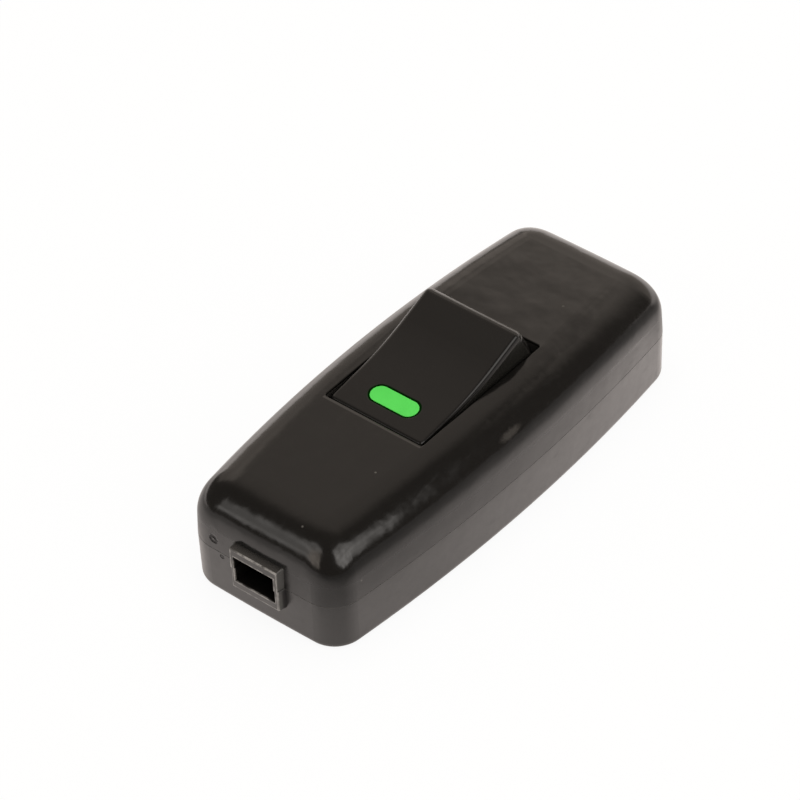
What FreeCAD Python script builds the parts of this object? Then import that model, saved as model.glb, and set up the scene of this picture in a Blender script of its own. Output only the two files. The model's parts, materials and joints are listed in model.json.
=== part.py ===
import FreeCAD, Part
import math
import os

Vector = FreeCAD.Vector

# Inline cord switch, in millimetres.
# +X runs from the marked end of the rocker to the other end, +Z is up.
# The origin is at the middle of the flat underside.

# Casing form
body_length = 80.0
end_bulge = 0.2
width_middle = 33.4
width_ends = 28.2
height_middle = 19.8
height_ends = 19.1
parting_height = 8.6
cover_draft = 1.7
base_draft = 0.8
corner_radius = 5.0
top_edge_radius = 7.2
bottom_edge_radius = 1.2

# Casing walls
side_wall = 1.8
roof_wall = 2.0
floor_wall = 2.0
lip_height = 1.2
lip_wall = 0.9
lip_gap = 0.15
groove_width = 0.1
groove_depth = 0.05

# Cord entries
entry_width = 7.6
entry_height = 4.7
collar_reach = 1.3
collar_root_width = 9.3
collar_root_height = 7.5
collar_front_width = 8.8
collar_front_height = 7.3
collar_edge = 0.15
lower_collar_shift = 0.2

# Case screws and locating pegs, one pair on each diagonal
case_screw_from_end = 5.2
case_screw_from_middle = 9.5
pillar_radius = 3.6
case_screw_radius = 1.45
case_screw_length = 11.0
case_head_radius = 2.6
case_head_height = 1.7
case_head_depth = 0.6
peg_radius = 1.5
peg_tip_radius = 1.05
peg_height = 2.5

# Rocker
window_length = 27.6
window_width = 18.4
window_corner = 0.4
window_edge = 0.2
rocker_end_gap = 0.3
rocker_side_gap = 0.2
rocker_tilt = 13.5
rocker_drop = 0.32
rocker_slope = 7.2
rocker_bend_radius = 45.0
rocker_edge = 0.8
rocker_corner = 1.1
rocker_plate = 1.8
rocker_wall = 1.4
pivot_depth = 5.2
skirt_below_pivot = 0.6
hub_radius = 3.2
trunnion_radius = 2.0
cheek_length = 9.2
cheek_wall = 2.0
cheek_below_pivot = 1.8
post_width = 3.6

# Green inlay
mark_from_middle = 7.41
mark_length = 8.5
mark_width = 3.15
mark_depth = 1.0
mark_gap = 0.1

# Plunger and its spring
sleeve_radius = 2.7
sleeve_below_pivot = 3.6
plunger_radius = 1.8
plunger_tip_radius = 1.5
plunger_below_pivot = 0.8
plunger_nipple_radius = 0.9
plunger_nipple_height = 1.0
spring_radius = 1.38
spring_wire_radius = 0.2
spring_turns = 6

# Contact bridge
bridge_half_length = 7.4
bridge_width = 5.0
bridge_wall = 0.8
bridge_tilt = 10.0
bridge_pivot_rise = 2.6
bridge_lug_radius = 0.6
bridge_lug_length = 1.5
bridge_side_gap = 0.4
support_wall = 0.6
support_length = 3.2
support_above_pivot = 1.0

# Contact rivets
contact_from_middle = 6.0
contact_radius = 1.5
contact_height = 0.6
contact_dome_radius = 4.0
rivet_radius = 0.9
rivet_head_radius = 1.3
rivet_head_height = 0.3

# Strips and wire terminals
strip_height = 3.6
strip_wall = 0.8
strip_width = 3.0
strip_from_middle = 6.7
terminal_to_clamp = 2.5
terminal_spacing = 11.2
pad_size = 6.8
plate_size = 6.2
plate_wall = 1.0
terminal_screw_radius = 1.5
terminal_head_radius = 2.6
terminal_head_height = 1.8
thread_collar_wall = 0.7
thread_collar_height = 0.9
stake_radius = 0.7
support_rib = 1.0
arm_rib_from_middle = 2.4
partition_wall = 1.2
stop_width = 4.0

# Cord clamps
clamp_to_pillar = 1.3
clamp_length = 5.0
clamp_width = 17.0
clamp_wall = 2.0
clamp_boss_height = 6.2
clamp_boss_radius = 2.3
clamp_screw_margin = 2.2
clamp_screw_radius = 1.3
clamp_screw_length = 5.5
clamp_head_radius = 2.2
clamp_head_height = 1.4
ridge_to_boss = 1.0
ridge_height = 0.8

# Clearances
running_gap = 0.05
stop_gap = 0.2
touch_gap = 0.05
screw_gap = 0.05
slot_width = 0.6
slot_depth = 0.6

# Heights and places that follow from the sizes above
half_length = body_length / 2
pivot_height = height_middle - pivot_depth
strip_top = strip_height + strip_wall
bridge_height = strip_top + bridge_pivot_rise
terminal_half_spacing = terminal_spacing / 2
case_screw_x = half_length - case_screw_from_end
clamp_x = case_screw_x - pillar_radius - clamp_to_pillar - clamp_length / 2
clamp_screw_spacing = clamp_width - 2 * clamp_screw_margin
ridge_width = clamp_screw_spacing - 2 * (clamp_boss_radius + ridge_to_boss)
terminal_x = clamp_x - clamp_length / 2 - terminal_to_clamp - pad_size / 2
plate_top = strip_top + plate_wall
clamp_top = clamp_boss_height + clamp_wall
case_screw_seat = case_head_depth + case_head_height
case_screw_top = case_screw_seat + case_screw_length
stake_x = terminal_x / 2

# The level rocker's corners, worked out from its place with the marked end pressed
tilt_angle = math.radians(rocker_tilt)
slope_angle = math.radians(rocker_slope)
pressed_x = window_length / 2 - rocker_end_gap
roof_fall = (height_middle - height_ends) * (pressed_x / half_length) ** 2
pressed_z = pivot_depth - roof_fall - rocker_drop
crest_x = pressed_x * math.cos(tilt_angle) - pressed_z * math.sin(tilt_angle)
crest_z = pivot_height + pressed_x * math.sin(tilt_angle) + pressed_z * math.cos(tilt_angle)
bend_z = crest_z - crest_x * math.tan(slope_angle)
skirt_z = pivot_height - skirt_below_pivot
skirt_x = crest_x + (crest_z - skirt_z) * math.tan(tilt_angle)
rocker_half_width = window_width / 2 - rocker_side_gap
spring_ceiling = bend_z - rocker_plate


def block(x_range, y_range, z_range):
    """Box between two limits on each axis."""
    corner = Vector(x_range[0], y_range[0], z_range[0])
    length = x_range[1] - x_range[0]
    width = y_range[1] - y_range[0]
    height = z_range[1] - z_range[0]
    return Part.makeBox(length, width, height, corner)


def around(centre, size):
    """Two limits, half a size each side of a centre."""
    return (centre - size / 2, centre + size / 2)


def post(radius, x, y, z_range):
    """Upright round post between two heights."""
    return Part.makeCylinder(radius, z_range[1] - z_range[0], Vector(x, y, z_range[0]))


def turned(shape, angle, height):
    """Copy turned about the Y line at a height. A positive angle lowers the +X side."""
    result = shape.copy()
    result.rotate(Vector(0, 0, height), Vector(0, 1, 0), angle)
    return result


def at_corners(x, y):
    """The four places with these distances from the two middle planes."""
    return [(sx * x, sy * y) for sx in (-1, 1) for sy in (-1, 1)]


def joined(shapes):
    """One solid from touching or crossing shapes."""
    return shapes[0].multiFuse(shapes[1:]).removeSplitter()


def save(name, shape):
    """Write one node, after a test of its solids."""
    for solid in shape.Solids:
        if not solid.isValid():
            raise ValueError(name + " has a faulty solid")
    shape.exportStep("parts/" + name + ".step")


# Casing


def outline(inset, z):
    """Plan of the casing: four shallow arcs that meet at sharp corners."""
    corner_x = half_length - end_bulge - inset
    corner_y = width_ends / 2 - inset
    middle_y = width_middle / 2 - inset
    end_x = half_length - inset
    corners = [
        Vector(-corner_x, -corner_y, z),
        Vector(corner_x, -corner_y, z),
        Vector(corner_x, corner_y, z),
        Vector(-corner_x, corner_y, z),
    ]
    middles = [
        Vector(0, -middle_y, z),
        Vector(end_x, 0, z),
        Vector(0, middle_y, z),
        Vector(-end_x, 0, z),
    ]
    edges = []
    for index in range(4):
        arc = Part.Arc(corners[index], middles[index], corners[(index + 1) % 4])
        edges.append(arc.toShape())
    return Part.Wire(edges)


def drafted(inset, start_z, end_z, draft):
    """Prism of the casing's plan that draws in with distance from the parting plane."""
    wires = []
    for z in (start_z, end_z):
        drawn_in = abs(z - parting_height) * math.tan(math.radians(draft))
        wires.append(outline(inset + drawn_in, z))
    return Part.makeLoft(wires, True, True)


def arch(lowered):
    """Block under the casing's slightly arched roof line."""
    reach = half_length + end_bulge
    low = Vector(-reach, -width_middle, 0)
    left = Vector(-reach, -width_middle, height_ends - lowered)
    crown = Vector(0, -width_middle, height_middle - lowered)
    right = Vector(reach, -width_middle, height_ends - lowered)
    edges = [
        Part.makeLine(low, left),
        Part.Arc(left, crown, right).toShape(),
        Part.makeLine(right, Vector(reach, -width_middle, 0)),
        Part.makeLine(Vector(reach, -width_middle, 0), low),
    ]
    return Part.Face(Part.Wire(edges)).extrude(Vector(0, 2 * width_middle, 0))


def rounded(shape, radius_of):
    """Fillet every edge for which radius_of gives a radius, in one step."""
    rounds = []
    for number, edge in enumerate(shape.Edges, 1):
        radius = radius_of(edge)
        if radius:
            rounds.append((number, radius, radius))
    document = FreeCAD.newDocument()
    sharp = document.addObject("Part::Feature", "sharp")
    sharp.Shape = shape
    fillet = document.addObject("Part::Fillet", "fillet")
    fillet.Base = sharp
    fillet.Edges = rounds
    document.recompute()
    result = fillet.Shape.copy()
    FreeCAD.closeDocument(document.Name)
    return result


def cover_form(inset, lowered):
    """Upper form of the casing, with its corners and its large top edge rounded."""
    form_top = height_middle + roof_wall
    sharp = drafted(inset, parting_height, form_top, cover_draft).common(arch(lowered))
    middle_z = (parting_height + height_ends - lowered) / 2

    def radius_of(edge):
        box = edge.BoundBox
        if box.ZMin > middle_z:
            return top_edge_radius - lowered
        if box.ZMax > middle_z:
            return corner_radius - inset
        return 0

    return rounded(sharp, radius_of)


def base_form(inset, bottom, edge_radius):
    """Lower form of the casing, from the parting plane down to a bottom height."""
    sharp = drafted(inset, parting_height, bottom, base_draft)
    middle_z = (parting_height + bottom) / 2

    def radius_of(edge):
        box = edge.BoundBox
        if box.ZMax < middle_z:
            return edge_radius
        if box.ZMin < middle_z:
            return corner_radius - inset
        return 0

    return rounded(sharp, radius_of)


def rectangle(x, width, height):
    """Upright rectangle about the cord line, at a place along the casing."""
    y = width / 2
    low = parting_height - height / 2
    high = parting_height + height / 2
    points = [Vector(x, -y, low), Vector(x, y, low), Vector(x, y, high), Vector(x, -y, high)]
    return Part.makePolygon(points + points[:1])


def collar(side, y):
    """Tapered collar that stands out round a cord entry, with its middle at y."""
    root_x = side * half_length
    sections = [
        rectangle(root_x - side * side_wall / 2, collar_root_width, collar_root_height),
        rectangle(root_x, collar_root_width, collar_root_height),
        rectangle(root_x + side * collar_reach, collar_front_width, collar_front_height),
    ]
    form = Part.makeLoft(sections, True, True)
    front = [edge for edge in form.Edges if abs(edge.CenterOfMass.x) > half_length]
    form = form.makeFillet(collar_edge, front)
    form.translate(Vector(0, y, 0))
    return form


def collars(z_range, y):
    """The half collars at both ends that lie in a range of heights."""
    reach = 2 * body_length
    layer = block(around(0, reach), around(0, width_ends), z_range)
    return [collar(side, y).common(layer) for side in (-1, 1)]


def cord_entries(y):
    """The straight way of the cord through both end walls."""
    entries = []
    for side in (-1, 1):
        x_range = around(side * half_length, 2 * (collar_reach + side_wall))
        y_range = around(y, entry_width)
        entries.append(block(x_range, y_range, around(parting_height, entry_height)))
    return entries


def screw_places():
    """Places of the two case screws, on one diagonal."""
    x = case_screw_x
    y = case_screw_from_middle
    return [(-x, y), (x, -y)]


def peg_places():
    """Places of the two locating pegs, on the other diagonal."""
    return [(x, -y) for x, y in screw_places()]


def lip():
    """Raised lip of the base that registers inside the cover's wall."""
    outside = side_wall + lip_gap
    top = parting_height + lip_height
    ring = lip_form(outside, parting_height, top)
    ring = ring.fuse(lip_form(side_wall / 2, parting_height - lip_height, parting_height))
    ring = ring.cut(lip_form(outside + lip_wall, parting_height - lip_height, top))
    gaps = []
    gap_z = (parting_height, top + lip_gap)
    for x, y in at_corners(case_screw_x, case_screw_from_middle):
        gaps.append(post(pillar_radius + 2 * lip_gap, x, y, gap_z))
    gap_z = (parting_height - lip_height, top + lip_gap)
    gaps.append(block(around(0, body_length), around(0, collar_root_width), gap_z))
    return ring.cut(Part.makeCompound(gaps))


def lip_form(inset, bottom, top):
    """Low prism of the casing's plan with rounded corners."""
    sharp = drafted(inset, bottom, top, 0)
    upright = [edge for edge in sharp.Edges if edge.BoundBox.ZLength > groove_width / 3]
    return sharp.makeFillet(corner_radius - inset, upright)


def parting_groove(side):
    """One half of the fine groove round the casing, above (1) or below (-1) the parting plane."""
    z_range = sorted((parting_height, parting_height + side * groove_width / 2))
    ring = lip_form(-groove_width, *z_range).cut(lip_form(groove_depth, *z_range))
    beside_collars = around(0, collar_root_width + 2 * lower_collar_shift)
    return ring.cut(block(around(0, 2 * body_length), beside_collars, z_range))


def cheek(side):
    """Bearing cheek under the roof, with a slot that opens downwards."""
    inner = window_width / 2
    y_range = sorted((side * inner, side * (inner + cheek_wall)))
    bottom = pivot_height - cheek_below_pivot
    roof_middle = height_middle - roof_wall / 2
    plate = block(around(0, cheek_length), y_range, (bottom, roof_middle))
    slot_radius = trunnion_radius + running_gap
    start = Vector(0, y_range[0], pivot_height)
    bearing = Part.makeCylinder(slot_radius, cheek_wall, start, Vector(0, 1, 0))
    way_in = block(around(0, 2 * slot_radius), y_range, (bottom, pivot_height))
    return plate.cut(bearing).cut(way_in)


def window():
    """Rocker window through the roof."""
    z_range = (height_ends - 2 * roof_wall, height_middle + roof_wall)
    hole = block(around(0, window_length), around(0, window_width), z_range)
    upright = [edge for edge in hole.Edges if edge.BoundBox.ZLength > roof_wall]
    return hole.makeFillet(window_corner, upright)


def window_rim(shape):
    """Edges where the window meets the top of the roof."""
    length = window_length / 2 + window_edge
    width = window_width / 2 + window_edge
    rim = []
    for edge in shape.Edges:
        box = edge.BoundBox
        in_length = box.XMin > -length and box.XMax < length
        in_width = box.YMin > -width and box.YMax < width
        if in_length and in_width and box.ZMin > height_ends - window_edge:
            rim.append(edge)
    return rim


def top_cover():
    """Upper shell with the rocker window, bearing cheeks, pillars and half collars."""
    form = cover_form(0, 0)
    parts = [form.cut(cover_form(side_wall, roof_wall))]
    parts += collars((parting_height, body_length), 0)
    parts += [cheek(side) for side in (-1, 1)]
    pillars = []
    for x, y in screw_places() + peg_places():
        pillars.append(post(pillar_radius, x, y, (parting_height, height_ends)))
    inside_form = cover_form(side_wall / 2, roof_wall / 2)
    parts += [pillar.common(inside_form) for pillar in pillars]
    cover = joined(parts)
    cuts = cord_entries(0) + [window(), parting_groove(1)]
    for x, y in screw_places():
        hole_z = (parting_height, case_screw_top + stop_gap)
        cuts.append(post(case_screw_radius + screw_gap, x, y, hole_z))
    for x, y in peg_places():
        hole_top = parting_height + peg_height + stop_gap
        cuts.append(post(peg_radius + running_gap, x, y, (parting_height, hole_top)))
    cover = cover.cut(Part.makeCompound(cuts))
    return cover.makeFillet(window_edge, window_rim(cover))


def trunnion_post(side):
    """Post of the base that closes a cheek's slot from below."""
    y_range = around(side * (window_width + cheek_wall) / 2, cheek_wall - 2 * lip_gap)
    body = block(around(0, post_width), y_range, (floor_wall / 2, pivot_height))
    start = Vector(0, y_range[0], pivot_height)
    bore = Part.makeCylinder(trunnion_radius + running_gap, cheek_wall, start, Vector(0, 1, 0))
    return body.cut(bore)


def strip_ribs():
    """Ribs and stakes on the floor that carry the three strips."""
    ribs = []
    z_range = (floor_wall / 2, strip_height)
    pad_edge = (pad_size - support_rib) / 2
    for x, y in at_corners(terminal_x, terminal_half_spacing):
        for side in (-1, 1):
            x_range = around(x + side * pad_edge, support_rib)
            ribs.append(block(x_range, around(y, pad_size), z_range))
    for x, y in at_corners(stake_x, strip_from_middle):
        ribs.append(block(around(x, support_rib * 2), around(y, strip_width), z_range))
        ribs.append(post(stake_radius, x, y, (floor_wall / 2, strip_top + strip_wall / 2)))
    for x in (0, fixed_contact_place()[0]):
        for side in (-1, 1):
            y_range = around(side * arm_rib_from_middle, support_rib)
            ribs.append(block(around(x, support_length), y_range, z_range))
    return ribs


def stops():
    """Posts that stop the rocker's ends, and the rib that stops the open contact bridge."""
    x = (skirt_x - rocker_wall / 2) * math.cos(tilt_angle)
    x -= skirt_below_pivot * math.sin(tilt_angle)
    fall = skirt_below_pivot * math.cos(tilt_angle) + skirt_x * math.sin(tilt_angle)
    z_range = (floor_wall / 2, pivot_height - fall - stop_gap)
    parts = []
    for side in (-1, 1):
        parts.append(block(around(side * x, rocker_wall), around(0, stop_width), z_range))
    angle = math.radians(bridge_tilt)
    fall = bridge_half_length * math.sin(angle) + bridge_wall / 2 * math.cos(angle)
    x_range = (-bridge_half_length, support_rib - bridge_half_length)
    z_range = (floor_wall / 2, bridge_height - fall - stop_gap)
    parts.append(block(x_range, around(0, bridge_width - support_rib), z_range))
    return parts


def clamp_seat(side):
    """Two screw bosses of a cord clamp and the ridge that the cord lies on."""
    x = side * clamp_x
    parts = []
    for y in around(0, clamp_screw_spacing):
        parts.append(post(clamp_boss_radius, x, y, (floor_wall / 2, clamp_boss_height)))
    y_range = around(0, ridge_width)
    z_range = (floor_wall / 2, floor_wall + ridge_height)
    parts.append(block(around(x, clamp_length / 2), y_range, z_range))
    return parts


def base_shell():
    """Lower shell with the screw bosses, ribs, posts, half collars and the raised lip."""
    form = base_form(0, 0, bottom_edge_radius)
    parts = [form.cut(base_form(side_wall, floor_wall, floor_wall / 2))]
    parts += collars((0, parting_height), -lower_collar_shift)
    parts.append(lip())
    low = (floor_wall / 2, parting_height)
    inside_form = base_form(side_wall / 2, floor_wall / 2, 0)
    for x, y in screw_places() + peg_places():
        parts.append(post(pillar_radius, x, y, low).common(inside_form))
    for x, y in peg_places():
        parts.append(peg(x, y))
    parts += strip_ribs() + stops()
    for side in (-1, 1):
        parts += clamp_seat(side)
        parts.append(trunnion_post(side))
        x_range = around(side * terminal_x, pad_size)
        parts.append(block(x_range, around(0, partition_wall), low))
    cuts = cord_entries(-lower_collar_shift) + [parting_groove(-1)]
    for x, y in screw_places():
        cuts.append(post(case_screw_radius + screw_gap, x, y, (0, parting_height)))
        cuts.append(post(case_head_radius + stop_gap, x, y, (0, case_screw_seat)))
    for x, y in at_corners(clamp_x, clamp_screw_spacing / 2):
        hole_z = (clamp_top - clamp_screw_length - stop_gap, clamp_boss_height)
        cuts.append(post(clamp_screw_radius + screw_gap, x, y, hole_z))
    return joined(parts).cut(Part.makeCompound(cuts))


def peg(x, y):
    """Locating peg with a tapered tip."""
    straight = peg_height / 2
    body = post(peg_radius, x, y, (parting_height - peg_radius, parting_height + straight))
    start = Vector(x, y, parting_height + straight)
    tip = Part.makeCone(peg_radius, peg_tip_radius, peg_height - straight, start)
    return body.fuse(tip)


# Rocker


def top_line():
    """Edges of the rocker's shallow V top, from its -X end to its +X end."""
    radius = rocker_bend_radius
    centre = bend_z + radius / math.cos(slope_angle)
    side = radius * math.sin(slope_angle)
    side_z = centre - radius * math.cos(slope_angle)
    left = Vector(-side, 0, side_z)
    right = Vector(side, 0, side_z)
    return [
        Part.makeLine(Vector(-crest_x, 0, crest_z), left),
        Part.Arc(left, Vector(0, 0, centre - radius), right).toShape(),
        Part.makeLine(right, Vector(crest_x, 0, crest_z)),
    ]


def rocker_block():
    """Outer form of the level rocker, with its edges rounded."""
    corners = [
        Vector(crest_x, 0, crest_z),
        Vector(skirt_x, 0, skirt_z),
        Vector(-skirt_x, 0, skirt_z),
        Vector(-crest_x, 0, crest_z),
    ]
    edges = top_line() + Part.makePolygon(corners).Edges
    face = Part.Face(Part.Wire(edges))
    face.translate(Vector(0, -rocker_half_width, 0))
    solid = face.extrude(Vector(0, 2 * rocker_half_width, 0))

    def radius_of(edge):
        box = edge.BoundBox
        if box.ZMax < skirt_z + rocker_edge:
            return 0
        if box.YLength < rocker_edge and box.ZMin < skirt_z + rocker_edge:
            return rocker_corner
        return rocker_edge

    return rounded(solid, radius_of)


def rocker_hollow():
    """Space under the rocker's top plate."""
    top_x = crest_x + rocker_plate * math.tan(tilt_angle) - rocker_wall
    top_z = spring_ceiling + top_x * math.tan(slope_angle)
    points = [
        Vector(-top_x, 0, top_z),
        Vector(0, 0, spring_ceiling),
        Vector(top_x, 0, top_z),
        Vector(skirt_x - rocker_wall, 0, skirt_z),
        Vector(rocker_wall - skirt_x, 0, skirt_z),
    ]
    half_width = rocker_half_width - rocker_wall
    face = Part.Face(Part.makePolygon(points + points[:1]))
    face.translate(Vector(0, -half_width, 0))
    return face.extrude(Vector(0, 2 * half_width, 0))


def cross_rod(radius, from_y, to_y):
    """Rod along Y on the rocker's pivot line."""
    low, high = sorted((from_y, to_y))
    start = Vector(0, low, pivot_height)
    return Part.makeCylinder(radius, high - low, start, Vector(0, 1, 0))


def mark_form(clearance, above):
    """Prism of the green mark, square to the rocker's marked side."""
    radius = mark_width / 2 + clearance
    straight = (mark_length - mark_width) / 2
    left = Vector(-radius, -straight, -mark_depth)
    right = Vector(radius, -straight, -mark_depth)
    far_right = Vector(radius, straight, -mark_depth)
    far_left = Vector(-radius, straight, -mark_depth)
    near_tip = Vector(0, -straight - radius, -mark_depth)
    far_tip = Vector(0, straight + radius, -mark_depth)
    edges = [
        Part.Arc(left, near_tip, right).toShape(),
        Part.makeLine(right, far_right),
        Part.Arc(far_right, far_tip, far_left).toShape(),
        Part.makeLine(far_left, left),
    ]
    solid = Part.Face(Part.Wire(edges)).extrude(Vector(0, 0, mark_depth + above))
    solid.rotate(Vector(0, 0, 0), Vector(0, 1, 0), rocker_slope)
    rise = mark_from_middle * math.tan(slope_angle)
    solid.translate(Vector(-mark_from_middle, 0, bend_z + rise))
    return solid


def rocker():
    """Hollow rocker with its hubs, trunnions, plunger sleeve and the pocket of the mark."""
    shell = rocker_block().cut(rocker_hollow())
    ceiling = bend_z - rocker_plate / 2
    parts = [shell]
    parts.append(post(sleeve_radius, 0, 0, (pivot_height - sleeve_below_pivot, ceiling)))
    web_width = 2 * rocker_half_width - rocker_wall
    web_z = (skirt_z, ceiling)
    parts.append(block(around(0, rocker_wall), around(0, web_width), web_z))
    for side in (-1, 1):
        inner = side * (rocker_half_width - rocker_wall)
        parts.append(cross_rod(hub_radius, inner, side * rocker_half_width))
        trunnion_end = side * (window_width / 2 + cheek_wall - 2 * running_gap)
        parts.append(cross_rod(trunnion_radius, inner, trunnion_end))
    bore_radius = plunger_radius + running_gap
    bore = post(bore_radius, 0, 0, (pivot_height - sleeve_below_pivot, spring_ceiling))
    solid = joined(parts).cut(bore).cut(mark_form(mark_gap, mark_depth))
    return turned(solid, -rocker_tilt, pivot_height)


def indicator_inlay():
    """Green capsule that fills the pocket in the rocker's pressed side."""
    return turned(mark_form(0, 0), -rocker_tilt, pivot_height)


def plunger():
    """Turned plunger with a spring nipple and a rounded tip."""
    top = pivot_height - plunger_below_pivot
    tip = bridge_height + bridge_wall / 2 + touch_gap
    tip_centre = tip + plunger_tip_radius
    shoulder = tip_centre + plunger_tip_radius / 2
    nipple = top + plunger_nipple_height
    tip_side = Vector(plunger_tip_radius, 0, tip_centre)
    diagonal = plunger_tip_radius * math.sqrt(0.5)
    tip_middle = Vector(diagonal, 0, tip_centre - diagonal)
    points = [
        Vector(0, 0, tip),
        Vector(0, 0, nipple),
        Vector(plunger_nipple_radius, 0, nipple),
        Vector(plunger_nipple_radius, 0, top),
        Vector(plunger_radius, 0, top),
        Vector(plunger_radius, 0, shoulder),
        tip_side,
    ]
    edges = Part.makePolygon(points).Edges
    edges.append(Part.Arc(tip_side, tip_middle, points[0]).toShape())
    solid = Part.Face(Part.Wire(edges)).revolve(Vector(0, 0, 0), Vector(0, 0, 1), 360)
    return turned(solid, -rocker_tilt, pivot_height)


def plunger_spring():
    """Helical spring between the plunger's shoulder and the sleeve's ceiling."""
    low = pivot_height - plunger_below_pivot + spring_wire_radius + touch_gap
    high = spring_ceiling - spring_wire_radius - touch_gap
    helix = Part.makeHelix((high - low) / spring_turns, high - low, spring_radius)
    start = Vector(spring_radius, 0, 0)
    section = Part.Wire(Part.makeCircle(spring_wire_radius, start, Vector(0, 1, 0)))
    coil = Part.Wire(helix).makePipeShell([section], True, True)
    coil.translate(Vector(0, 0, low))
    return turned(coil, -rocker_tilt, pivot_height)


# Contact bridge and its support


def contact_bridge():
    """See-saw strip with round pivot lugs and a hole for the moving contact."""
    x_range = around(0, 2 * bridge_half_length)
    z_range = around(bridge_height, bridge_wall)
    strip = block(x_range, around(0, bridge_width), z_range)
    upright = [edge for edge in strip.Edges if edge.BoundBox.ZLength > bridge_wall / 2]
    strip = strip.makeFillet(bridge_wall, upright)
    reach = bridge_width / 2 + bridge_lug_length
    start = Vector(0, -reach, bridge_height)
    lugs = Part.makeCylinder(bridge_lug_radius, 2 * reach, start, Vector(0, 1, 0))
    inner_start = Vector(0, -bridge_width / 2, bridge_height)
    inner = Part.makeCylinder(bridge_lug_radius, bridge_width, inner_start, Vector(0, 1, 0))
    hole = post(rivet_radius + touch_gap, contact_from_middle, 0, z_range)
    solid = strip.fuse(lugs.cut(inner)).removeSplitter().cut(hole)
    return turned(solid, bridge_tilt, bridge_height)


def moving_contact():
    """Rivet whose head hangs under the bridge's +X arm."""
    x = contact_from_middle
    low, high = around(bridge_height, bridge_wall)
    head = post(contact_radius, x, 0, (low - contact_height, low))
    shank = post(rivet_radius, x, 0, (low, high))
    upset = post(rivet_head_radius, x, 0, (high, high + rivet_head_height))
    return turned(joined([head, shank, upset]), bridge_tilt, bridge_height)


def fixed_contact_place():
    """Place along X of the fixed contact, and the height of its domed top."""
    tilt = math.radians(bridge_tilt)
    below = bridge_wall / 2 + contact_height
    touch_x = contact_from_middle * math.cos(tilt) - below * math.sin(tilt)
    touch_z = bridge_height - contact_from_middle * math.sin(tilt) - below * math.cos(tilt)
    dome = contact_dome_radius + touch_gap
    centre_x = touch_x - dome * math.sin(tilt)
    centre_z = touch_z - dome * math.cos(tilt)
    return centre_x, centre_z + contact_dome_radius


def fixed_contact():
    """Rivet with a domed head, set in the live strip under the moving contact."""
    x, top = fixed_contact_place()
    dome = Part.makeSphere(contact_dome_radius, Vector(x, 0, top - contact_dome_radius))
    head = post(contact_radius, x, 0, (strip_top, top)).common(dome)
    shank = post(rivet_radius, x, 0, (strip_height, strip_top))
    upset = post(rivet_head_radius, x, 0, (strip_height - rivet_head_height, strip_height))
    return joined([head, shank, upset])


def bridge_support():
    """Bracket bent up into two ears, with open notches for the bridge's lugs."""
    inner = bridge_width / 2 + bridge_side_gap
    outer = inner + support_wall
    top = bridge_height + support_above_pivot
    x_range = around(0, support_length)
    solid = block(x_range, around(0, 2 * outer), (strip_top, top))
    lower = []
    for edge in solid.Edges:
        box = edge.BoundBox
        if box.ZMax < strip_top + support_wall / 2 and box.XLength > support_length / 2:
            lower.append(edge)
    solid = solid.makeFillet(support_wall, lower)
    solid = solid.cut(block(x_range, around(0, 2 * inner), (strip_top + support_wall, top)))
    notch_radius = bridge_lug_radius + running_gap
    start = Vector(0, -outer, bridge_height)
    notch = Part.makeCylinder(notch_radius, 2 * outer, start, Vector(0, 1, 0))
    way_in = block(around(0, 2 * notch_radius), around(0, 2 * outer), (bridge_height, top))
    return solid.cut(notch).cut(way_in)


# Strips and terminals


def screw_pad(x, y):
    """Square end of a strip with the collar that holds a terminal screw's thread."""
    z_range = (strip_height, strip_top)
    pad = block(around(x, pad_size), around(y, pad_size), z_range)
    collar_radius = terminal_screw_radius + screw_gap + thread_collar_wall
    thread_collar = post(collar_radius, x, y, (strip_height - thread_collar_height, strip_top))
    return pad.fuse(thread_collar)


def strip(pads, stakes, x_range, side, arms):
    """Flat strip beside the mechanism, with its arms, screw pads and stake holes."""
    z_range = (strip_height, strip_top)
    y_range = around(side * strip_from_middle, strip_width)
    parts = [block(x_range, y_range, z_range)] + arms
    holes = []
    for x in pads:
        y = side * terminal_half_spacing
        parts.append(screw_pad(x, y))
        holes.append(post(terminal_screw_radius + screw_gap, x, y, (0, strip_top)))
    for x in stakes:
        holes.append(post(stake_radius + screw_gap, x, side * strip_from_middle, z_range))
    return joined(parts).cut(Part.makeCompound(holes))


def strip_arm(x):
    """Arm of a live strip that reaches under the contact bridge."""
    outer = strip_from_middle + strip_width / 2
    inner = bridge_width / 2 + bridge_side_gap + support_wall
    return block(around(x, support_length), (-outer, inner), (strip_height, strip_top))


def neutral_link():
    """Strip that joins the neutral terminals at both ends."""
    outer = terminal_x + pad_size / 2
    return strip((-terminal_x, terminal_x), (-stake_x, stake_x), (-outer, outer), 1, [])


def live_in_strip():
    """Strip from the marked end's live terminal to the bridge support."""
    x_range = (-terminal_x - pad_size / 2, support_length / 2)
    return strip([-terminal_x], [-stake_x], x_range, -1, [strip_arm(0)])


def live_out_strip():
    """Strip from the fixed contact to the other end's live terminal."""
    contact_x = fixed_contact_place()[0]
    x_range = (contact_x - support_length / 2, terminal_x + pad_size / 2)
    solid = strip([terminal_x], [stake_x], x_range, -1, [strip_arm(contact_x)])
    return solid.cut(post(rivet_radius + touch_gap, contact_x, 0, (strip_height, strip_top)))


def clamp_plate(x, y):
    """Square plate that a terminal screw presses on the wire."""
    z_range = (strip_top, plate_top)
    plate = block(around(x, plate_size), around(y, plate_size), z_range)
    upright = [edge for edge in plate.Edges if edge.BoundBox.ZLength > plate_wall / 2]
    plate = plate.makeFillet(plate_wall / 2, upright)
    return plate.cut(post(terminal_screw_radius + screw_gap, x, y, z_range))


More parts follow.
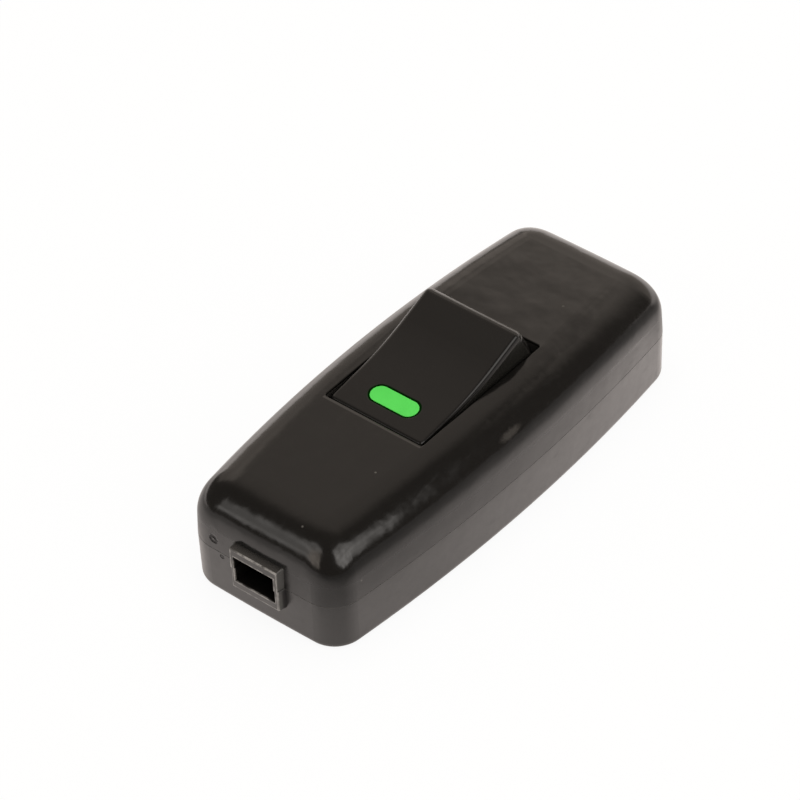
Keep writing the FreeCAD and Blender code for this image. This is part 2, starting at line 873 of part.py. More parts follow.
def slotted_screw(x, y, seat, head, shank):
    """Upright slotted screw from (radius, length) of its head and shank."""
    head_radius, head_height = head
    shank_radius, shank_length = shank
    cap = post(head_radius, x, y, (seat, seat + head_height))
    rim = [edge for edge in cap.Edges if edge.BoundBox.ZMin > seat + head_height / 2]
    cap = cap.makeFillet(head_height / 4, rim)
    slot_z = (seat + head_height - slot_depth, seat + head_height)
    slot = block(around(x, 2 * head_radius), around(y, slot_width), slot_z)
    return joined([cap.cut(slot), post(shank_radius, x, y, (seat - shank_length, seat))])


def terminal_screws():
    """The four screws of the wire terminals."""
    length = plate_wall + strip_wall + thread_collar_height
    screws = []
    for x, y in at_corners(terminal_x, terminal_half_spacing):
        head = (terminal_head_radius, terminal_head_height)
        shank = (terminal_screw_radius, length)
        screws.append(slotted_screw(x, y, plate_top, head, shank))
    return Part.makeCompound(screws)


def case_screws():
    """The two screws that hold the cover from below."""
    screws = []
    for x, y in screw_places():
        head = (case_head_radius, case_head_height)
        shank = (case_screw_radius, case_screw_length)
        screw = slotted_screw(x, y, case_screw_seat, head, shank)
        screw.rotate(Vector(x, y, case_screw_seat), Vector(1, 0, 0), 180)
        screws.append(screw)
    return Part.makeCompound(screws)


# Cord clamps


def cord_clamp(side):
    """Bar across the cord with a gripping rib below."""
    x = side * clamp_x
    z_range = (clamp_boss_height, clamp_top)
    bar = block(around(x, clamp_length), around(0, clamp_width), z_range)
    upright = [edge for edge in bar.Edges if edge.BoundBox.ZLength > clamp_wall / 2]
    bar = bar.makeFillet(clamp_length / 4, upright)
    grip_z = (clamp_boss_height - ridge_height, clamp_boss_height)
    grip = block(around(x, support_rib), around(0, ridge_width), grip_z)
    solid = bar.fuse(grip)
    for y in around(0, clamp_screw_spacing):
        solid = solid.cut(post(clamp_screw_radius + screw_gap, x, y, z_range))
    return solid


def clamp_screws():
    """The four screws of the cord clamps."""
    screws = []
    for x, y in at_corners(clamp_x, clamp_screw_spacing / 2):
        head = (clamp_head_radius, clamp_head_height)
        shank = (clamp_screw_radius, clamp_screw_length)
        screws.append(slotted_screw(x, y, clamp_top, head, shank))
    return Part.makeCompound(screws)


os.makedirs("parts", exist_ok=True)
save("top_cover", top_cover())
save("base_shell", base_shell())
save("rocker", rocker())
save("indicator_inlay", indicator_inlay())
save("plunger", plunger())
save("plunger_spring", plunger_spring())
save("contact_bridge", contact_bridge())
save("moving_contact", moving_contact())
save("fixed_contact", fixed_contact())
save("bridge_support", bridge_support())
save("live_in_strip", live_in_strip())
save("live_out_strip", live_out_strip())
save("neutral_link", neutral_link())
save("terminal_screws", terminal_screws())
save("case_screws", case_screws())
save("clamp_screws", clamp_screws())
for end, side in (("near", -1), ("far", 1)):
    save("cord_clamp_" + end, cord_clamp(side))
    place_x = side * terminal_x
    save("live_plate_" + end, clamp_plate(place_x, -terminal_half_spacing))
    save("neutral_plate_" + end, clamp_plate(place_x, terminal_half_spacing))
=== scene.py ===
import json
import math

import bpy
from mathutils import Matrix, Vector


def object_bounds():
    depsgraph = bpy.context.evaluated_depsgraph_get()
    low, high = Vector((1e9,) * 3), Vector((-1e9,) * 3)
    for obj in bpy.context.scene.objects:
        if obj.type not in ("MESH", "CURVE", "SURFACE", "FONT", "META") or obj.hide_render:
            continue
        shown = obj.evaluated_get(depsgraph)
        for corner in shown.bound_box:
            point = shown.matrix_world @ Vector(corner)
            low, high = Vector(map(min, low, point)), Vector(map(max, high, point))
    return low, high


# Looks, light and camera of the inline cord switch. Lengths are in metres.
# +X runs from the marked end of the rocker to the other end, +Z is up.

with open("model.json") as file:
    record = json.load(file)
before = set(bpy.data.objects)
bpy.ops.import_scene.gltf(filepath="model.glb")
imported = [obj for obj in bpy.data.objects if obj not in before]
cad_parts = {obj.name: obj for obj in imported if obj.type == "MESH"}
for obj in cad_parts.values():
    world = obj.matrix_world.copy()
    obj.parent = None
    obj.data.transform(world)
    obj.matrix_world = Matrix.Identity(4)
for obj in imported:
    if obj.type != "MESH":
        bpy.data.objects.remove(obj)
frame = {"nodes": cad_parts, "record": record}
cad_low, cad_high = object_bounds()
nodes = frame["nodes"]

X, Y, Z = (1, 0, 0), (0, 1, 0), (0, 0, 1)

# Places on the casing
parting_height = 0.0086
wall_top = 0.0115
polish_start = 0.0140
window_end = 0.0139
window_side = 0.00925
window_top = 0.0193
collar_start = 0.0345
collar_inner_side = 0.00433
# Half width and half height of the collar, and of the block round the cord passage
collar_half = (0.0047, 0.0038)
passage_half = (0.0041, 0.0026)
# Half width, half height and half breadth of the painted highlights on the collar's outer and inner rim
highlighted_rims = ((0.0044, 0.00365, 0.00030), (0.0038, 0.00235, 0.00028))
rim_highlight_shift = -0.0001
# Two pits beside the collar: place and radius
pit_places = (((-0.03986, 0.00873, 0.0106), 0.00085), ((-0.03993, 0.0072, 0.0080), 0.00045))
pit_depth = 0.0003
fleck_places = ((-0.02209, -0.00738, 0.01958), (-0.03615, -0.00553, 0.01843), (-0.03441, -0.01465, 0.01179))
# Place of a painted highlight on the near side's rolled edge
side_highlight_place = (-0.0012, -0.01543, 0.0165)

# Places on the rocker, which stands at its rest pose
marked_slope = (0.994, 0, 0.110)
mark_end_radius = 0.00173
mark_half_straight = 0.002675
crest_slope = (0.935, 0, 0.353)
crest_reach = 0.01803
crest_height = 0.0234
flank = 0.00895


# Node helpers

def link(tree, source, target):
    """Joins two sockets."""
    tree.links.new(source, target)


def feed(tree, socket, value):
    """Sets an input from another socket or from a plain number, colour or vector."""
    if isinstance(value, bpy.types.NodeSocket):
        link(tree, value, socket)
    else:
        socket.default_value = value


def maths(tree, operation, *values):
    """One step of arithmetic."""
    node = tree.nodes.new("ShaderNodeMath")
    node.operation = operation
    for socket, value in zip(node.inputs, values):
        feed(tree, socket, value)
    return node.outputs[0]


def chain(tree, operation, first, *others):
    """One kind of arithmetic over several values, from first to last."""
    result = first
    for value in others:
        result = maths(tree, operation, result, value)
    return result


def product(tree, *values):
    """All values multiplied."""
    return chain(tree, "MULTIPLY", *values)


def total(tree, *values):
    """All values added."""
    return chain(tree, "ADD", *values)


def largest(tree, *values):
    """The largest value."""
    return chain(tree, "MAXIMUM", *values)


def size_of(tree, value):
    """A value without its sign."""
    return maths(tree, "ABSOLUTE", value)


def vector_maths(tree, operation, *values):
    """One step of vector arithmetic. Gives the number for DOT_PRODUCT, DISTANCE and LENGTH."""
    node = tree.nodes.new("ShaderNodeVectorMath")
    node.operation = operation
    for socket, value in zip(node.inputs, values):
        feed(tree, socket, value)
    scalar = operation in ("DOT_PRODUCT", "DISTANCE", "LENGTH")
    return node.outputs["Value"] if scalar else node.outputs["Vector"]


def along(tree, vector, axis):
    """How far a vector goes in a direction."""
    return vector_maths(tree, "DOT_PRODUCT", vector, axis)


def remap(tree, value, from_low, from_high, to_low, to_high, smooth=True):
    """Carries a value from one range into another, held at the ends."""
    node = tree.nodes.new("ShaderNodeMapRange")
    node.interpolation_type = "SMOOTHSTEP" if smooth else "LINEAR"
    feed(tree, node.inputs["Value"], value)
    ends = {"From Min": from_low, "From Max": from_high, "To Min": to_low, "To Max": to_high}
    for name, number in ends.items():
        node.inputs[name].default_value = number
    return node.outputs[0]


def above(tree, value, start, full):
    """0 below a start, rising softly to 1."""
    return remap(tree, value, start, full, 0.0, 1.0)


def below(tree, value, full, end):
    """1 up to a value, falling softly to 0."""
    return remap(tree, value, full, end, 1.0, 0.0)


def blend(tree, factor, first, second):
    """Mixes two colours by a factor."""
    node = tree.nodes.new("ShaderNodeMix")
    node.data_type = "RGBA"
    feed(tree, node.inputs[0], factor)
    feed(tree, node.inputs[6], first)
    feed(tree, node.inputs[7], second)
    return node.outputs[2]


def either(tree, factor, first, second):
    """Mixes two shaders by a factor."""
    node = tree.nodes.new("ShaderNodeMixShader")
    for socket, source in zip(node.inputs, (factor, first, second)):
        link(tree, source, socket)
    return node.outputs[0]


def tinted(tree, values):
    """A colour from three numbers."""
    node = tree.nodes.new("ShaderNodeCombineColor")
    for socket, value in zip(node.inputs, values):
        link(tree, value, socket)
    return node.outputs[0]


def place(tree):
    """Coordinates fixed to the object, in metres."""
    return tree.nodes.new("ShaderNodeTexCoord").outputs["Object"]


def stretched(tree, vector, scale):
    """Coordinates scaled by a different amount along each axis."""
    node = tree.nodes.new("ShaderNodeMapping")
    feed(tree, node.inputs["Vector"], vector)
    node.inputs["Scale"].default_value = scale
    return node.outputs[0]


def noise(tree, vector, scale, detail=2.0, roughness=0.5):
    """Cloudy noise, with its scale in patches per metre."""
    node = tree.nodes.new("ShaderNodeTexNoise")
    feed(tree, node.inputs["Vector"], vector)
    node.inputs["Scale"].default_value = scale
    node.inputs["Detail"].default_value = detail
    node.inputs["Roughness"].default_value = roughness
    return node.outputs[0]


def wavy(tree, vector, scale, amount):
    """Coordinates pushed about by a cloudy noise."""
    node = tree.nodes.new("ShaderNodeTexNoise")
    feed(tree, node.inputs["Vector"], vector)
    node.inputs["Scale"].default_value = scale
    push = vector_maths(tree, "SUBTRACT", node.outputs["Color"], (0.5, 0.5, 0.5))
    push = vector_maths(tree, "MULTIPLY", push, (amount, amount, amount))
    return vector_maths(tree, "ADD", vector, push)


def specks(tree, vector, scale, radius, share):
    """1 inside small round specks, which only a share of the cells has."""
    node = tree.nodes.new("ShaderNodeTexVoronoi")
    feed(tree, node.inputs["Vector"], vector)
    node.inputs["Scale"].default_value = scale
    parts = tree.nodes.new("ShaderNodeSeparateColor")
    link(tree, node.outputs["Color"], parts.inputs[0])
    inside = above(tree, node.outputs["Distance"], radius, radius * 0.5)
    chosen = maths(tree, "LESS_THAN", parts.outputs[0], share)
    return product(tree, inside, chosen)


def bump(tree, height, distance, normal=None):
    """Normal of a height field, whose full step is a distance in metres."""
    node = tree.nodes.new("ShaderNodeBump")
    node.inputs["Distance"].default_value = distance
    node.inputs["Strength"].default_value = 1.0
    feed(tree, node.inputs["Height"], height)
    if normal is not None:
        link(tree, normal, node.inputs["Normal"])
    return node.outputs[0]


def sunk(tree, mask, depth, normal):
    """Normal of a surface that sinks by a depth where a mask is 1."""
    return bump(tree, maths(tree, "SUBTRACT", 1.0, mask), depth, normal)


def material(name):
    """An empty node material with one shader."""
    made = bpy.data.materials.new(name)
    made.use_nodes = True
    shader = made.node_tree.nodes["Principled BSDF"]
    return made, made.node_tree, shader


def surface(tree, shader, tone=None, rough=None, normal=None):
    """Links the parts of a finish that vary over the surface."""
    for name, source in (("Base Color", tone), ("Roughness", rough), ("Normal", normal)):
        if source is not None:
            link(tree, source, shader.inputs[name])


def constants(shader, **values):
    """Numbers that are the same all over a surface, set on the shader itself."""
    for name, value in values.items():
        shader.inputs[name.replace("_", " ")].default_value = value


# Casing

def past_collar_rectangle(tree, spot, half_width, half_height, shift=0.0):
    """How far a point lies outside a rectangle round the cord's line, seen along the casing."""
    offset = vector_maths(tree, "SUBTRACT", spot, (0, shift, parting_height))
    offset = vector_maths(tree, "ABSOLUTE", offset)
    past = vector_maths(tree, "SUBTRACT", offset, (0, half_width, half_height))
    return largest(tree, along(tree, past, Y), along(tree, past, Z))


def collar_block(tree, spot, half):
    """1 inside a block round the near cord entry."""
    inside = below(tree, past_collar_rectangle(tree, spot, *half), 0.0, 0.0001)
    ahead = above(tree, along(tree, spot, (-1, 0, 0)), collar_start, collar_start + 0.0005)
    return product(tree, inside, ahead)


def collar_rim_highlights(tree, spot):
    """1 on the edges of the collar round the near cord entry, where a broken-up highlight is painted."""
    front = -cad_low[0]
    ahead = above(tree, along(tree, spot, (-1, 0, 0)), front - 0.0003, front - 0.0001)
    rims = []
    for half_width, half_height, breadth in highlighted_rims:
        rim = past_collar_rectangle(tree, spot, half_width, half_height, rim_highlight_shift)
        rims.append(below(tree, size_of(tree, rim), breadth * 0.4, breadth))
    highlight_strength = remap(tree, noise(tree, spot, 700, 3), 0.35, 0.62, 0.15, 1.0)
    return product(tree, ahead, largest(tree, *rims), highlight_strength)


def casing_pits(tree, spot):
    """1 on the two small ring-shaped pits beside the collar."""
    pits = []
    for point, radius in pit_places:
        ragged = product(tree, noise(tree, spot, 2500, 2), radius * 0.6)
        away = total(tree, vector_maths(tree, "DISTANCE", spot, point), ragged)
        away = size_of(tree, maths(tree, "SUBTRACT", away, radius * 0.85))
        pits.append(below(tree, away, radius * 0.15, radius * 0.50))
    return largest(tree, *pits)


def window_lip(tree, spot):
    """1 at the bevelled edge of the rocker window beside the marked end."""
    x = along(tree, spot, X)
    slope = remap(tree, x, -window_end - 0.00055, -window_end - 0.00005, 0.0, 1.0, smooth=False)
    outside = below(tree, x, -window_end + 0.0001, -window_end + 0.0002)
    between = below(tree, size_of(tree, along(tree, spot, Y)), window_side - 0.00015, window_side + 0.00005)
    on_roof = above(tree, along(tree, spot, Z), 0.0180, 0.0185)
    return product(tree, slope, slope, outside, between, on_roof)


def inside_window(tree, spot):
    """1 on the casing's walls inside the rocker window and below."""
    past = vector_maths(tree, "ABSOLUTE", spot)
    past = vector_maths(tree, "SUBTRACT", past, (window_end, window_side, window_top))
    past = largest(tree, *(along(tree, past, axis) for axis in (X, Y, Z)))
    return below(tree, past, 0.0, 0.0001)


def side_highlight_spot(tree, spot):
    """1 on a small spot on the near side's rolled edge, where a highlight is painted, fading out."""
    away = vector_maths(tree, "SUBTRACT", wavy(tree, spot, 1500, 0.0008), side_highlight_place)
    away = vector_maths(tree, "LENGTH", stretched(tree, away, (0.30, 1.0, 1.0)))
    return remap(tree, away, 0.0003, 0.0009, 0.75, 0.0)


def casing_tone(tree, spot, dust, pits):
    """Base colour of the casing, from its plain black to the marks on it, with painted light and shade:
    dark pits, a lighter collar, passage, parting line and window walls, and painted highlights on the
    collar's rims and the near side's rolled edge.
    """
    tone = blend(tree, noise(tree, spot, 60, 2), (0.0028, 0.0026, 0.0023, 1), (0.0044, 0.0040, 0.0035, 1))
    tone = blend(tree, product(tree, dust, 0.25), tone, (0.20, 0.19, 0.17, 1))
    # Painted shade: the pits are painted darker than the casing round them.
    tone = blend(tree, pits, tone, (0.0015, 0.0014, 0.0013, 1))
    beside = size_of(tree, along(tree, spot, Y))
    on_side = above(tree, beside, collar_inner_side, collar_inner_side + 0.0001)
    # Painted light: the collar is painted lighter than the casing, a little in its channel and more on its
    # outer sides and rim.
    collar = blend(tree, on_side, (0.032, 0.030, 0.028, 1), (0.10, 0.098, 0.093, 1))
    tone = blend(tree, collar_block(tree, spot, collar_half), tone, collar)
    # Painted light: the parting line's groove is painted lighter, to take out its shade.
    parting = size_of(tree, maths(tree, "SUBTRACT", along(tree, spot, Z), parting_height))
    tone = blend(tree, remap(tree, parting, 0.00005, 0.00011, 0.9, 0.0), tone, (0.10, 0.097, 0.093, 1))
    # Painted light: the cord passage is painted a little lighter than the black casing, for light reaching
    # into it.
    tone = blend(tree, collar_block(tree, spot, passage_half), tone, (0.008, 0.0072, 0.0065, 1))
    # Painted highlight: the collar's rim edges are painted pale, in place of the light they catch.
    tone = blend(tree, collar_rim_highlights(tree, spot), tone, (0.42, 0.405, 0.385, 1))
    for point in fleck_places:
        fleck = remap(tree, vector_maths(tree, "DISTANCE", spot, point), 0.0001, 0.00022, 0.45, 0.0)
        tone = blend(tree, fleck, tone, (0.24, 0.23, 0.21, 1))
    # Painted light: the casing's walls inside the rocker window are painted lighter, to lift the shade in
    # the gap round the rocker.
    tone = blend(tree, inside_window(tree, spot), tone, (0.050, 0.047, 0.043, 1))
    # Painted highlight: a small spot on the near side's rolled edge is painted lighter.
    return blend(tree, side_highlight_spot(tree, spot), tone, (0.070, 0.065, 0.060, 1))


def casing_black():
    """Moulded black gloss plastic with a faint ripple, dust, scuffs and two small pits, and painted light
    and shade in its colour and gloss.
    """
    made, tree, shader = material("housing_black")
    spot = place(tree)
    fine = noise(tree, spot, 900, 3)
    dust = specks(tree, spot, 260, 0.07, 0.04)
    pits = casing_pits(tree, spot)
    scuffs = noise(tree, stretched(tree, spot, (1.0, 7.0, 3.0)), 160, 4, 0.6)
    rough = total(
        tree,
        remap(tree, fine, 0.3, 0.7, 0.12, 0.17),
        remap(tree, along(tree, spot, Z), wall_top, polish_start, 0.16, 0.0),
        remap(tree, scuffs, 0.55, 0.80, 0.0, 0.10),
        product(tree, dust, 0.3),
    )
    normal = bump(tree, noise(tree, spot, 130, 1), 0.00012)
    normal = bump(tree, noise(tree, spot, 420, 1), 0.000022, normal)
    normal = bump(tree, fine, 0.0000010, normal)
    normal = sunk(tree, pits, pit_depth, normal)
    normal = sunk(tree, window_lip(tree, spot), 0.00012, normal)
    surface(tree, shader, casing_tone(tree, spot, dust, pits), rough, normal)
    # Painted shade: Metallic takes most of the gloss out of the pits, so they look dark.
    link(tree, product(tree, pits, 0.7), shader.inputs["Metallic"])
    constants(shader, IOR=1.5, Specular_IOR_Level=0.95)
    return made


# Rocker

def mark_ring(tree, spot):
    """1 on the fine recess round the green mark."""
    corners = [Vector(corner) for corner in nodes["indicator_inlay"].bound_box]
    offset = vector_maths(tree, "SUBTRACT", spot, sum(corners, Vector()) / len(corners))
    lengthwise = along(tree, offset, marked_slope)
    across = maths(tree, "SUBTRACT", size_of(tree, along(tree, offset, Y)), mark_half_straight)
    across = largest(tree, across, 0.0)
    away = total(tree, product(tree, lengthwise, lengthwise), product(tree, across, across))
    away = maths(tree, "SUBTRACT", maths(tree, "SQRT", away), mark_end_radius)
    return below(tree, size_of(tree, away), 0.00012, 0.00028)


def rocker_black():
    """The casing's black plastic with a finer skin and softened edges, painted highlights on the crest and
    flanks, and painted shade in the recess round the mark.
    """
    made, tree, shader = material("rocker_black")
    spot = place(tree)
    ring = mark_ring(tree, spot)
    crest = along(tree, spot, crest_slope)
    side = size_of(tree, along(tree, spot, Y))
    raised = above(tree, along(tree, spot, Z), crest_height, crest_height + 0.0006)
    broad = noise(tree, spot, 110, 2)
    tone = blend(tree, broad, (0.0034, 0.0032, 0.0029, 1), (0.0050, 0.0047, 0.0043, 1))
    # Painted shade: the recess round the mark is painted dark green.
    tone = blend(tree, ring, tone, (0.0010, 0.0440, 0.0020, 1))
    # Painted highlight: a pale band along the raised crest's edge.
    highlight_strength = product(tree, raised, above(tree, crest, crest_reach - 0.00065, crest_reach - 0.00023))
    tone = blend(tree, highlight_strength, tone, (0.17, 0.164, 0.158, 1))
    # Painted light: the rocker's flanks are painted lighter than its top.
    lit_flank = above(tree, side, flank - 0.00002, flank + 0.00003)
    tone = blend(tree, lit_flank, tone, (0.018, 0.0175, 0.0155, 1))
    rough = remap(tree, noise(tree, spot, 900, 3), 0.3, 0.7, 0.16, 0.21)
    normal = bump(tree, broad, 0.00002)
    normal = bump(tree, noise(tree, spot, 5200, 2), 0.0000018, normal)
    normal = sunk(tree, ring, 0.00008, normal)
    over_crest = remap(tree, crest, crest_reach - 0.00103, crest_reach, 0.0, 1.0, smooth=False)
    normal = sunk(tree, product(tree, over_crest, over_crest, raised), 0.00085, normal)
    over_side = remap(tree, side, flank - 0.0007, flank, 0.0, 1.0, smooth=False)
    normal = sunk(tree, product(tree, over_side, over_side), 0.00022, normal)
    surface(tree, shader, tone, rough, normal)
    # Painted shade: Metallic takes the gloss out of the recess round the mark.
    link(tree, ring, shader.inputs["Metallic"])
    constants(shader, IOR=1.5, Specular_IOR_Level=0.72)
    return made


def indicator_green():
    """Bright green moulded inlay."""
    made, tree, shader = material("indicator_green")
    spot = place(tree)
    tone = blend(tree, noise(tree, spot, 420, 2), (0.095, 0.80, 0.105, 1), (0.125, 0.92, 0.135, 1))
    surface(tree, shader, tone, None, bump(tree, noise(tree, spot, 2600, 2), 0.000006))
    constants(shader, Roughness=0.38, IOR=1.49)
    return made


# Inner parts

def metal(name, light, dark, roughness, grain):
    """Bare metal with fine drawn lines and slight staining."""
    made, tree, shader = material(name)
    spot = place(tree)
    lines = noise(tree, stretched(tree, spot, grain), 1.0, 3, 0.6)
    tone = blend(tree, noise(tree, spot, 350, 3), dark, light)
    rough = remap(tree, lines, 0.3, 0.7, roughness - 0.06, roughness + 0.10)
    surface(tree, shader, tone, rough, bump(tree, lines, 0.000004))
    constants(shader, Metallic=1.0)
    return made


def plain_plastic(name, light, dark, roughness):
    """Unpolished moulded plastic of an inner part."""
    made, tree, shader = material(name)
    spot = place(tree)
    tone = blend(tree, noise(tree, spot, 500, 2), dark, light)
    rough = remap(tree, noise(tree, spot, 1500, 2), 0.3, 0.7, roughness - 0.05, roughness + 0.05)
    surface(tree, shader, tone, rough, bump(tree, noise(tree, spot, 4000, 2), 0.000006))
    constants(shader, IOR=1.5)
    return made


drawn_x = (300.0, 6000.0, 6000.0)
drawn_z = (6000.0, 6000.0, 500.0)
finishes = {
    "housing_black": casing_black(),
    "rocker_black": rocker_black(),
    "indicator_green": indicator_green(),
    "plunger_nylon": plain_plastic("plunger_nylon", (0.78, 0.76, 0.70, 1), (0.70, 0.68, 0.61, 1), 0.42),
    "clamp_black": plain_plastic("clamp_black", (0.030, 0.029, 0.028, 1), (0.022, 0.021, 0.020, 1), 0.48),
    "spring_steel": metal("spring_steel", (0.62, 0.62, 0.60, 1), (0.50, 0.50, 0.48, 1), 0.25, drawn_z),
    "contact_copper": metal("contact_copper", (0.80, 0.50, 0.35, 1), (0.68, 0.40, 0.27, 1), 0.30, drawn_x),
    "contact_silver": metal("contact_silver", (0.88, 0.87, 0.84, 1), (0.78, 0.77, 0.73, 1), 0.26, drawn_z),
    "terminal_brass": metal("terminal_brass", (0.82, 0.64, 0.33, 1), (0.70, 0.53, 0.25, 1), 0.28, drawn_x),
    "plate_steel": metal("plate_steel", (0.68, 0.68, 0.66, 1), (0.56, 0.56, 0.55, 1), 0.32, drawn_x),
    "screw_steel": metal("screw_steel", (0.66, 0.65, 0.60, 1), (0.54, 0.54, 0.50, 1), 0.30, drawn_z),
}
for entry in frame["record"]["subparts"]:
    data = nodes[entry["node"]].data
    data.materials.clear()
    data.materials.append(finishes[entry["material_slot"]])


# Surroundings: soft light boxes in a grey room, seen white by the camera.
# The corners of a box are (azimuth, elevation) in degrees, clockwise as the object sees them.
window_box = ((-68, 10), (-59.5, 38), (-96, 61), (-138, 54), (-124, 28), (-104, 10))
door_box = ((179, 9), (179, 47), (158, 50), (141, 38), (141, 9))
near_wall = ((46, -15), (46, 35.6), (20, 46.5), (-40, 45), (-60, -15))
side_wall = ((92, 20), (92, 52), (56, 46), (48, -15))
far_wall = ((51, 6), (51, 24), (44, 24), (44, 6))
room_level = 0.11
warm_tint = (1.14, 1.0, 0.88)
grey_tint = (1.04, 1.0, 0.96)


def direction(azimuth, elevation):
    """Unit vector at an angle from +X towards +Y, and up from the floor."""
    a, e = math.radians(azimuth), math.radians(elevation)
    return Vector((math.cos(a) * math.cos(e), math.sin(a) * math.cos(e), math.sin(e)))


def side_of(tree, ray, normal, soft):
    """1 on one side of a plane through the object, 0 on the other, with a soft step in degrees."""
    reach = math.sin(math.radians(soft / 2))
    return above(tree, along(tree, ray, normal), -reach, reach)


def light_box(tree, ray, corners, soft, strength):
    """Brightness of a lit panel with straight, soft edges."""
    value = strength
    for corner, following in zip(corners, corners[1:] + corners[:1]):
        normal = direction(*corner).cross(direction(*following)).normalized()
        value = product(tree, side_of(tree, ray, normal, soft), value)
    return value


def room_light(tree):
    """Colour of the room in each direction: a greyer and a warmer part, each with its tint."""
    straight = tree.nodes.new("ShaderNodeTexCoord").outputs["Generated"]
    ceiling = remap(tree, along(tree, straight, direction(50, 62)), 0.70, 0.95, 0.0, 0.20)
    ceiling = product(tree, ceiling, side_of(tree, straight, direction(16, 0), 30))
    ray = wavy(tree, straight, 6, 0.09)
    patchy = remap(tree, noise(tree, ray, 7, 1), 0.35, 0.65, 0.68, 1.18)
    fading = remap(tree, along(tree, straight, Z), 0.64, 0.88, 1.0, 0.45)
    window = product(tree, light_box(tree, ray, window_box, 3, 1.40), patchy, fading)
    door = product(tree, light_box(tree, ray, door_box, 4, 0.80), patchy)
    grey_share = below(tree, along(tree, ray, direction(179, 20)), 0.88, 0.97)
    grey_door = product(tree, door, grey_share)
    near = light_box(tree, ray, near_wall, 6, 0.34)
    near = product(tree, near, side_of(tree, ray, direction(60, 0), 26))
    side = light_box(tree, ray, side_wall, 8, 0.27)
    far = light_box(tree, ray, far_wall, 4, 0.40)
    grey = total(tree, window, grey_door)
    warm = total(tree, ceiling, room_level, maths(tree, "SUBTRACT", door, grey_door), near, side, far)
    shades = []
    for warm_share, grey_part in zip(warm_tint, grey_tint):
        shades.append(maths(tree, "MULTIPLY_ADD", grey, grey_part, product(tree, warm, warm_share)))
    return tinted(tree, shades)


def surroundings():
    """World light: white to the camera, a soft-lit room to everything else."""
    world = bpy.data.worlds.new("room")
    bpy.context.scene.world = world
    world.use_nodes = True
    tree = world.node_tree
    tree.nodes.clear()
    room = tree.nodes.new("ShaderNodeBackground")
    link(tree, room_light(tree), room.inputs["Color"])
    white = tree.nodes.new("ShaderNodeBackground")
    white.inputs["Color"].default_value = (1, 1, 1, 1)
    rays = tree.nodes.new("ShaderNodeLightPath")
    output = tree.nodes.new("ShaderNodeOutputWorld")
    seen = either(tree, rays.outputs["Is Camera Ray"], room.outputs[0], white.outputs[0])
    link(tree, seen, output.inputs["Surface"])


def mirrored_floor(tree, spot):
    """Brightness of the floor in the object's gloss, by its place round the object."""
    away = vector_maths(tree, "ABSOLUTE", spot)
    away = vector_maths(tree, "SUBTRACT", away, (cad_high[0], cad_high[1], 0))
    away = vector_maths(tree, "LENGTH", vector_maths(tree, "MAXIMUM", away, (0, 0, 0)))
    x, y = along(tree, spot, X), along(tree, spot, Y)
    close = remap(tree, away, 0.0045, 0.0085, 0.38, 0.0)
    fade = total(tree, close, remap(tree, away, 0.02, 0.10, 0.60, 0.30))
    near_side = product(
        tree,
        remap(tree, away, 0.010, 0.040, 1.20, 0.40),
        above(tree, x, -0.055, -0.030),
        remap(tree, x, -0.020, 0.045, 0.85, 1.38, smooth=False),
    )
    marked_end = remap(tree, y, -0.06, 0.025, 0.32, 1.15)
    close_by = product(tree, largest(tree, near_side, marked_end), fade)
    beyond = above(tree, total(tree, x, y), 0.028, 0.10)
    return largest(tree, close_by, beyond)


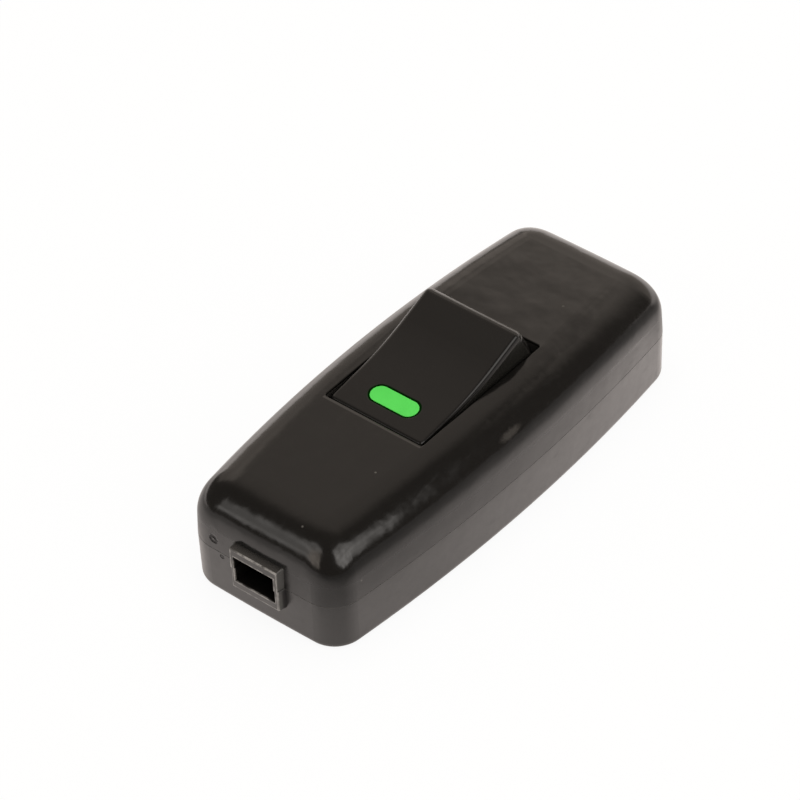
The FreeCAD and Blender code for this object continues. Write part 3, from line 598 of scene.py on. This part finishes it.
def white_table():
    """Plain pale floor that stays white to the camera and keeps a faint shadow."""
    bpy.ops.mesh.primitive_circle_add(vertices=96, radius=1.6, fill_type="NGON", location=(0, 0, -0.00002))
    table = bpy.context.object
    table.name = "white_table"
    made, tree, shader = material("table_white")
    constants(shader, Base_Color=(0.90, 0.90, 0.89, 1), Roughness=0.9, Specular_IOR_Level=0.0)
    white = tree.nodes.new("ShaderNodeEmission")
    white.inputs["Color"].default_value = (1, 1, 1, 1)
    white.inputs["Strength"].default_value = 1.03
    glow = mirrored_floor(tree, place(tree))
    mirrored = tree.nodes.new("ShaderNodeEmission")
    colour = tinted(tree, [product(tree, glow, tint) for tint in (1.10, 1.0, 0.95)])
    link(tree, colour, mirrored.inputs["Color"])
    rays = tree.nodes.new("ShaderNodeLightPath")
    camera_share = product(tree, rays.outputs["Is Camera Ray"], 0.90)
    shown = either(tree, camera_share, shader.outputs[0], white.outputs[0])
    glossy = largest(tree, rays.outputs["Is Glossy Ray"], rays.outputs["Is Transmission Ray"])
    shown = either(tree, product(tree, glossy, 0.85), shown, mirrored.outputs[0])
    link(tree, shown, tree.nodes["Material Output"].inputs["Surface"])
    table.data.materials.append(made)


def overhead_light():
    """Large soft lamp above the table."""
    lamp = bpy.data.lights.new("overhead", "AREA")
    lamp.shape = "DISK"
    lamp.size = 0.9
    lamp.energy = 4.2
    lamp.color = (1.0, 0.985, 0.96)
    holder = bpy.data.objects.new("overhead", lamp)
    holder.location = (0.05, -0.05, 0.9)
    holder.visible_glossy = False
    bpy.context.collection.objects.link(holder)


# Camera, fitted to the photograph: angles in degrees, target and distance in metres
camera_azimuth = -48.59
camera_elevation = 41.71
camera_roll = -2.74
camera_target = (-0.000305, 0.006495, 0.010526)
camera_distance = 0.65615


def camera():
    """Long lens from above the marked end, as in the photograph."""
    azimuth, elevation, roll = map(math.radians, (camera_azimuth, camera_elevation, camera_roll))
    back = Vector((
        math.sin(azimuth) * math.cos(elevation),
        -math.cos(azimuth) * math.cos(elevation),
        math.sin(elevation),
    ))
    right = Vector((math.cos(azimuth), math.sin(azimuth), 0))
    up = back.cross(right)
    turned_right = math.cos(roll) * right + math.sin(roll) * up
    turned_up = math.cos(roll) * up - math.sin(roll) * right
    data = bpy.data.cameras.new("camera")
    data.sensor_width = 36
    data.lens = 198
    data.clip_start = 0.05
    data.clip_end = 20
    eye = bpy.data.objects.new("camera", data)
    axes = Matrix((turned_right, turned_up, back)).transposed().to_4x4()
    eye.matrix_world = Matrix.Translation(Vector(camera_target) + back * camera_distance) @ axes
    bpy.context.collection.objects.link(eye)
    bpy.context.scene.camera = eye


surroundings()
white_table()
overhead_light()
camera()
bpy.context.scene.view_settings.view_transform = "Standard"
